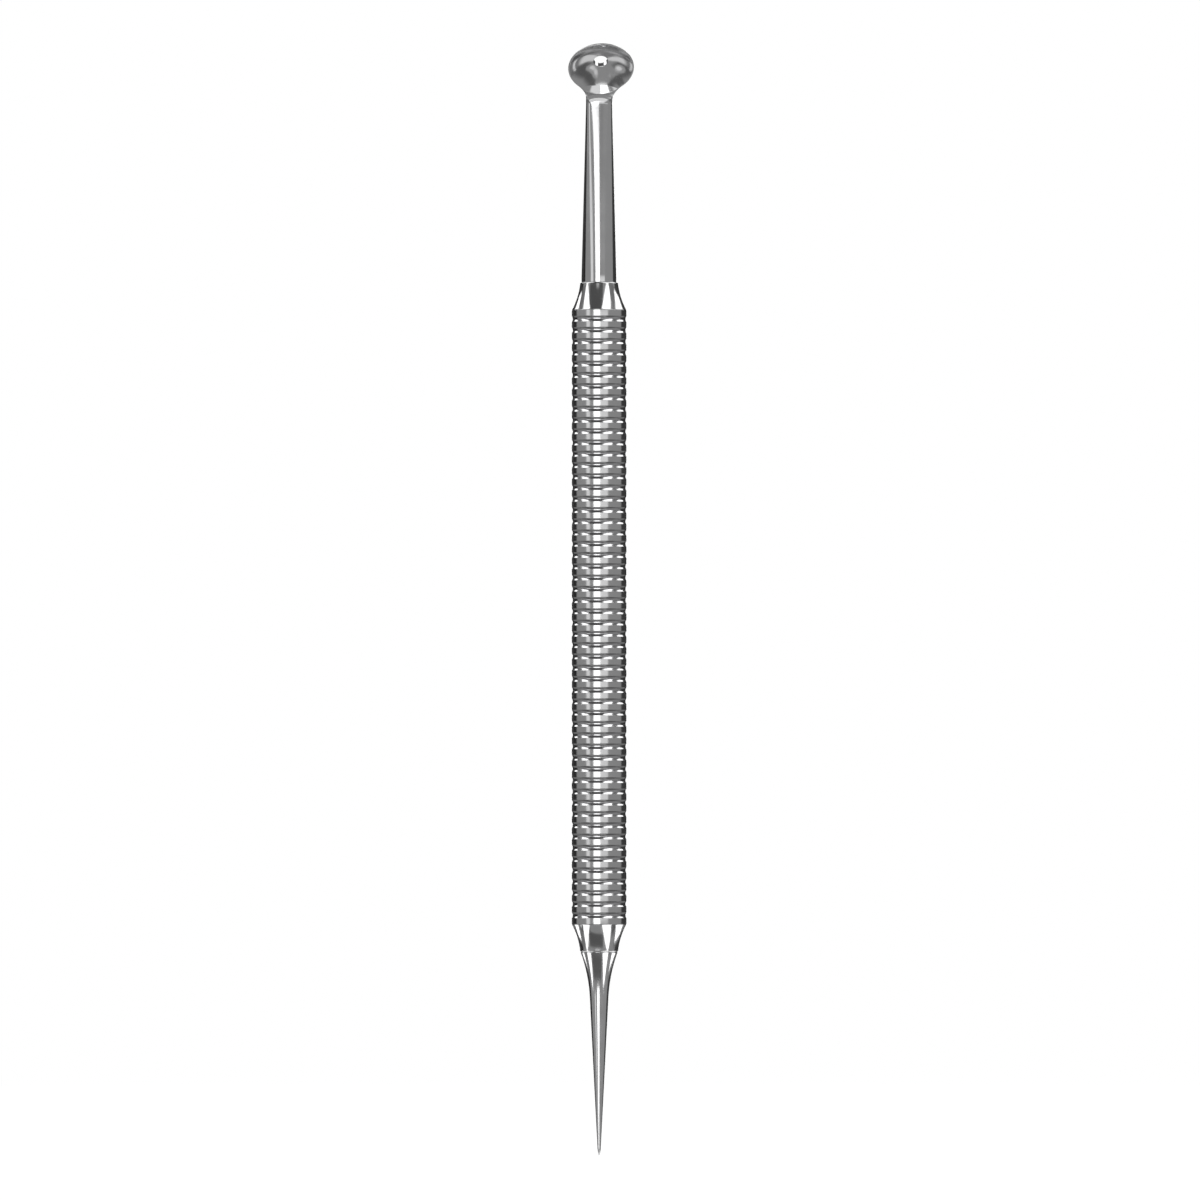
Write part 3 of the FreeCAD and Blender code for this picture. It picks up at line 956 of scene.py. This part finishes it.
def ray_seen(tree):
    """1 where a camera, mirror or glass ray looks, so that the steel shows the same white as the camera."""
    rays = add_node(tree, "ShaderNodeLightPath").outputs
    seen = calculate(tree, "MAXIMUM", rays["Is Camera Ray"], rays["Is Glossy Ray"])
    return calculate(tree, "MAXIMUM", seen, rays["Is Transmission Ray"])


def white_world(stage):
    world = bpy.data.worlds.new("white")
    bpy.context.scene.world = world
    world.use_nodes = True
    tree = world.node_tree
    tree.nodes.clear()
    strength = between(tree, ray_seen(tree), stage.ambient, 1.0)
    light = add_node(tree, "ShaderNodeBackground", {"Color": WHITE, "Strength": strength})
    add_node(tree, "ShaderNodeOutputWorld", {"Surface": light})


def floor_material(stage):
    """Pale floor that looks white and still takes the tool's shadow."""
    material, tree = new_material("pale_floor")
    plain = add_node(tree, "ShaderNodeBsdfDiffuse", {"Color": stage.floor_colour[:]})
    white = add_node(tree, "ShaderNodeEmission", {"Color": WHITE, "Strength": 1.0})
    place = add_node(tree, "ShaderNodeTexCoord").outputs["Object"]
    away = add_node(tree, "ShaderNodeVectorMath", {0: place}, operation="LENGTH").outputs["Value"]
    share_there = between(tree, away, FLOOR_WHITE_SHARE, 1.0, *FLOOR_FADE)
    part = calculate(tree, "MULTIPLY", ray_seen(tree), share_there)
    both = add_node(tree, "ShaderNodeMixShader", {0: part, 1: plain, 2: white})
    add_node(tree, "ShaderNodeOutputMaterial", {"Surface": both})
    return material


def make_floor(stage):
    sides = ((-1, -1), (1, -1), (1, 1), (-1, 1))
    corners = [(x * FLOOR_HALF, y * FLOOR_HALF, NEEDLE_POINT) for x, y in sides]
    mesh = bpy.data.meshes.new("floor")
    mesh.from_pydata(corners, [], [(0, 1, 2, 3)])
    mesh.materials.append(floor_material(stage))
    floor = add_object("floor", mesh)
    hide_from(floor, "glossy", "shadow")


def direction(azimuth, elevation):
    """The way from the tool, in degrees: azimuth 0 is the front and 90 the right."""
    around, up = math.radians(azimuth), math.radians(elevation)
    return Vector((math.sin(around) * math.cos(up), -math.cos(around) * math.cos(up), math.sin(up)))


# Grey cards that the steel mirrors: azimuth from the camera and elevation, from and to, in degrees, then how
# near the card stands, as a share of the card distance, its tone and the width of its soft edge in degrees
CARDS = {
    "surround": (-180, 180, -90, 90, 1.0, 0.33, 0),
    "rear": (105, 253, -16, 62, 0.97, 0.05, 3),
    "rear_below": (90, 270, -90, -46, 0.975, 0.8, 8),
    "rear_low": (90, 270, -48, -12, 0.98, 0.22, 3),
    "rear_mid_line": (95, 265, -42, -36, 0.96, 0.85, 2),
    "left_edge": (-128, -116, -16, 14, 0.96, 0.01, 2),
    "front_right": (3, 40, -6, 9.3, 0.96, 1.0, 5),
    "front_left": (-57, -37, -13, 16, 0.96, 0.95, 4),
    "front_glow": (-20, 4, 10, 28, 0.95, 0.5, 8),
    "above_front": (-58, 24, 14, 64, 0.96, 0.1, 2),
    "below_front": (-58, 24, -44, -19, 0.965, 0.12, 3),
    "above_right": (62, 103, 14, 64, 0.96, 0.2, 2),
    "above_left": (-112, -92, 14, 64, 0.96, 0.2, 2),
    "above": (-180, 180, 60, 90, 0.965, 0.1, 2),
    "below_right": (30, 110, -75, -26, 0.96, 0.12, 14),
    "below_left": (-110, -45, -75, -26, 0.96, 0.12, 14),
}
CARD_STEPS = 24


def soft_edge(tree, place, edge_share):
    """1 on the card, falling to 0 at its two edges along one axis."""
    inside = calculate(tree, "MINIMUM", place, calculate(tree, "SUBTRACT", 1.0, place))
    return add_node(tree, "ShaderNodeMapRange", {"Value": inside, "From Max": edge_share},
                    interpolation_type="SMOOTHSTEP")


def card_material(name, tone, width_share, height_share):
    material, tree = new_material(name)
    grey = (tone, tone, tone, 1.0)
    glow = add_node(tree, "ShaderNodeEmission", {"Color": grey, "Strength": 1.0})
    if width_share > 0.0:
        place = add_node(tree, "ShaderNodeTexCoord").outputs["UV"]
        across = add_node(tree, "ShaderNodeSeparateXYZ", {0: place}).outputs
        solid = calculate(tree, "MULTIPLY", soft_edge(tree, across[0], width_share),
                          soft_edge(tree, across[1], height_share))
        clear = add_node(tree, "ShaderNodeBsdfTransparent")
        glow = add_node(tree, "ShaderNodeMixShader", {0: solid, 1: clear, 2: glow})
    add_node(tree, "ShaderNodeOutputMaterial", {"Surface": glow})
    material.cycles.emission_sampling = "NONE"
    return material


def make_card(stage, name, left, right, bottom, top, distance_share, tone, edge):
    """A curved card that only the steel's reflections see."""
    name = name + "_card"
    work = bmesh.new()
    bmesh.ops.create_grid(work, x_segments=CARD_STEPS, y_segments=CARD_STEPS, size=0.5, calc_uvs=True)
    turn = math.degrees(stage.camera_azimuth) + left
    uv_map = work.loops.layers.uv.verify()
    for face in work.faces:
        for corner in face.loops:
            corner[uv_map].uv = corner.vert.co.xy + Vector((0.5, 0.5))
    for corner in work.verts:
        azimuth = turn + (right - left) * (corner.co.x + 0.5)
        elevation = bottom + (top - bottom) * (corner.co.y + 0.5)
        corner.co = direction(azimuth, elevation) * stage.card_radius * distance_share
    mesh = bpy.data.meshes.new(name)
    work.to_mesh(mesh)
    work.free()
    mesh.materials.append(card_material(name, tone, edge / (right - left), edge / (top - bottom)))
    card = add_object(name, mesh)
    hide_from(card, "camera", "diffuse", "transmission", "shadow")


# Softboxes: azimuth from the camera, elevation, width, height and lean to the left in degrees, then shape and
# brightness
SOFTBOXES = {
    "front": (-9.3, -1.0, 27.0, 30.0, 0.0, "RECTANGLE", 1.9),
    "upper_left": (-73.5, 41.5, 22.0, 58.0, -10.0, "ELLIPSE", 1.9),
    "upper_right": (46.5, 43.5, 29.0, 58.0, 16.0, "ELLIPSE", 1.9),
    "outer_left": (-126.0, 37.5, 18.0, 40.0, 0.0, "RECTANGLE", 1.9),
    "outer_right": (115.0, 40.0, 32.0, 40.0, 0.0, "RECTANGLE", 1.9),
    "back": (180.0, 0.0, 24.0, 60.0, 0.0, "RECTANGLE", 1.9),
}
# Softboxes mirrored below for the needle end, and the pieces that those light
MIRRORED = ("upper_left", "upper_right", "outer_left", "outer_right")
NEEDLE_END = ("needle", "needle_collar")
# Softboxes for the spoon alone: two soft spots in the bowl and a light band at the bend
SPOON_SOFTBOXES = {
    "bowl_left": (51.5, -60.0, 24.0, 18.0, 0.0, "ELLIPSE", 0.28),
    "bowl_left_core": (49.0, -62.0, 12.0, 9.0, 0.0, "ELLIPSE", 0.4),
    "bowl_right": (-70.0, -53.0, 26.0, 21.0, 0.0, "ELLIPSE", 0.28),
    "bowl_right_core": (-68.0, -55.0, 13.0, 11.0, 0.0, "ELLIPSE", 0.45),
    "bend": (-2.0, -27.0, 50.0, 42.0, 0.0, "RECTANGLE", 0.8),
}
SPOON_END = ("spoon",)
# Softboxes kept off the spoon, whose rim would lose its outline from behind
OFF_SPOON = ("upper_right",)


def make_softbox(stage, name, azimuth, elevation, width, height, lean, shape, brightness):
    away = direction(math.degrees(stage.camera_azimuth) + azimuth, elevation)
    lamp = bpy.data.lights.new(name + "_softbox", "AREA")
    lamp.shape = shape
    lamp.size = 2 * stage.lamp_distance * math.tan(math.radians(width) / 2)
    lamp.size_y = 2 * stage.lamp_distance * math.tan(math.radians(height) / 2)
    filled = math.pi / 4 if shape == "ELLIPSE" else 1.0
    lamp.energy = brightness * filled * lamp.size * lamp.size_y * math.pi
    box = add_object(name + "_softbox", lamp)
    box.location = away * stage.lamp_distance
    upright = (-away).to_track_quat("-Z", "Y")
    box.rotation_euler = (upright @ Quaternion((0.0, 0.0, 1.0), math.radians(lean))).to_euler()
    hide_from(box, "camera")
    return box


def link_light(box, pieces, state):
    """Let a softbox light only the named pieces (INCLUDE), or everything but them (EXCLUDE)."""
    linked = bpy.data.collections.new(box.name + "_pieces")
    for name in pieces:
        linked.objects.link(bpy.data.objects[name])
    for member in linked.collection_objects:
        member.light_linking.link_state = state
    box.light_linking.receiver_collection = linked


def make_softboxes(stage):
    """Softboxes for the whole tool, then for one end. The needle points down, so its own are below it."""
    for name, values in SOFTBOXES.items():
        box = make_softbox(stage, name, *values)
        if name in OFF_SPOON:
            link_light(box, SPOON_END, "EXCLUDE")
    for name, values in SPOON_SOFTBOXES.items():
        link_light(make_softbox(stage, name, *values), SPOON_END, "INCLUDE")
    for name in MIRRORED:
        azimuth, elevation, width, height, lean, *rest = SOFTBOXES[name]
        below = (azimuth, -elevation, width, height, -lean, *rest)
        link_light(make_softbox(stage, name + "_below", *below), NEEDLE_END, "INCLUDE")


def make_camera(stage):
    """The photograph's view: nearly level, from the front, through a long lens."""
    low, high = CAD_BOX
    middle = (low + high) / 2
    eye = bpy.data.cameras.new("camera")
    eye.lens = stage.camera_lens
    height = (high.z - low.z) * (1 + 2 * stage.frame_margin)
    distance = height * eye.lens / eye.sensor_width
    away = direction(math.degrees(stage.camera_azimuth), math.degrees(stage.camera_elevation))
    camera = add_object("camera", eye)
    camera.location = middle + away * distance
    camera.rotation_euler = (-away).to_track_quat("-Z", "Y").to_euler()
    bpy.context.scene.camera = camera


# Operators

class EXTRACTOR_OT_grip(bpy.types.Operator):
    """Make the ringed grip"""
    bl_idname = "extractor.grip"
    bl_label = "Make Grip"

    def execute(self, context):
        chosen = settings()
        material = grip_steel(chosen.steel, chosen.grip)
        add_piece("grip", ringed_tube(chosen.grip, material), "grip_tube", material)
        return {"FINISHED"}


class EXTRACTOR_OT_ferrules(bpy.types.Operator):
    """Make the two trumpet-shaped collars"""
    bl_idname = "extractor.ferrules"
    bl_label = "Make Collars"

    def execute(self, context):
        chosen = settings()
        sizes = chosen.ferrule
        material = polished_steel("ferrule_steel", chosen.steel.ferrule_colour, chosen.steel.tip_roughness,
                                  TURNED_LINES)[0]
        outline = ferrule_outline(sizes)
        ends = {
            "spoon_collar": ("spoon_ferrule", raised(outline, GRIP_HIGH.z)),
            "needle_collar": ("needle_ferrule", upside_down(outline, GRIP_LOW.z)),
        }
        for name, (node, placed) in ends.items():
            add_piece(name, lathe(name, placed, sizes.segments), node, material)
        return {"FINISHED"}


class EXTRACTOR_OT_needle(bpy.types.Operator):
    """Make the needle"""
    bl_idname = "extractor.needle"
    bl_label = "Make Needle"

    def execute(self, context):
        chosen = settings()
        sizes = chosen.needle
        material = polished_steel("needle_steel", chosen.steel.tip_colour, chosen.steel.tip_roughness,
                                  TURNED_LINES)[0]
        outline = upside_down(needle_outline(sizes, NEEDLE_SEAM - NEEDLE_POINT), NEEDLE_SEAM)
        add_piece("needle", lathe("needle", outline, sizes.segments), "needle_tip", material)
        return {"FINISHED"}


class EXTRACTOR_OT_spoon(bpy.types.Operator):
    """Make the pierced spoon"""
    bl_idname = "extractor.spoon"
    bl_label = "Make Spoon"

    def execute(self, context):
        chosen = settings()
        material = polished_steel("spoon_steel", chosen.steel.tip_colour, chosen.steel.tip_roughness,
                                  DRAWN_LINES)[0]
        mesh = make_spoon_mesh(chosen.spoon, SPOON_SEAM)
        add_piece("spoon", mesh, "spoon_tip", material)
        return {"FINISHED"}


class EXTRACTOR_OT_stage(bpy.types.Operator):
    """Set up the floor, cards, softboxes and camera"""
    bl_idname = "extractor.stage"
    bl_label = "Set Stage"

    def execute(self, context):
        stage = settings().stage
        white_world(stage)
        make_floor(stage)
        for name, values in CARDS.items():
            make_card(stage, name, *values)
        make_softboxes(stage)
        make_camera(stage)
        context.scene.view_settings.view_transform = "Standard"
        return {"FINISHED"}


class EXTRACTOR_PT_panel(bpy.types.Panel):
    """Lists the steps that make the extractor"""
    bl_idname = "EXTRACTOR_PT_panel"
    bl_label = "Blackhead Extractor"
    bl_space_type = "VIEW_3D"
    bl_region_type = "UI"
    bl_category = "Extractor"

    def draw(self, context):
        for step in STEPS:
            self.layout.operator(step.bl_idname)


STEPS = (EXTRACTOR_OT_grip, EXTRACTOR_OT_ferrules, EXTRACTOR_OT_needle, EXTRACTOR_OT_spoon,
         EXTRACTOR_OT_stage)
CLASSES = (GripSizes, FerruleSizes, NeedleSizes, SpoonSizes, SteelFinish, StageSettings, ExtractorSettings,
           *STEPS, EXTRACTOR_PT_panel)


def register():
    for kind in CLASSES:
        bpy.utils.register_class(kind)
    bpy.types.Scene.extractor = PointerProperty(type=ExtractorSettings)


def unregister():
    del bpy.types.Scene.extractor
    for kind in reversed(CLASSES):
        bpy.utils.unregister_class(kind)


def main():
    register()
    bpy.ops.extractor.grip()
    bpy.ops.extractor.ferrules()
    bpy.ops.extractor.needle()
    bpy.ops.extractor.spoon()
    bpy.ops.extractor.stage()


if __name__ == "__main__":
    main()
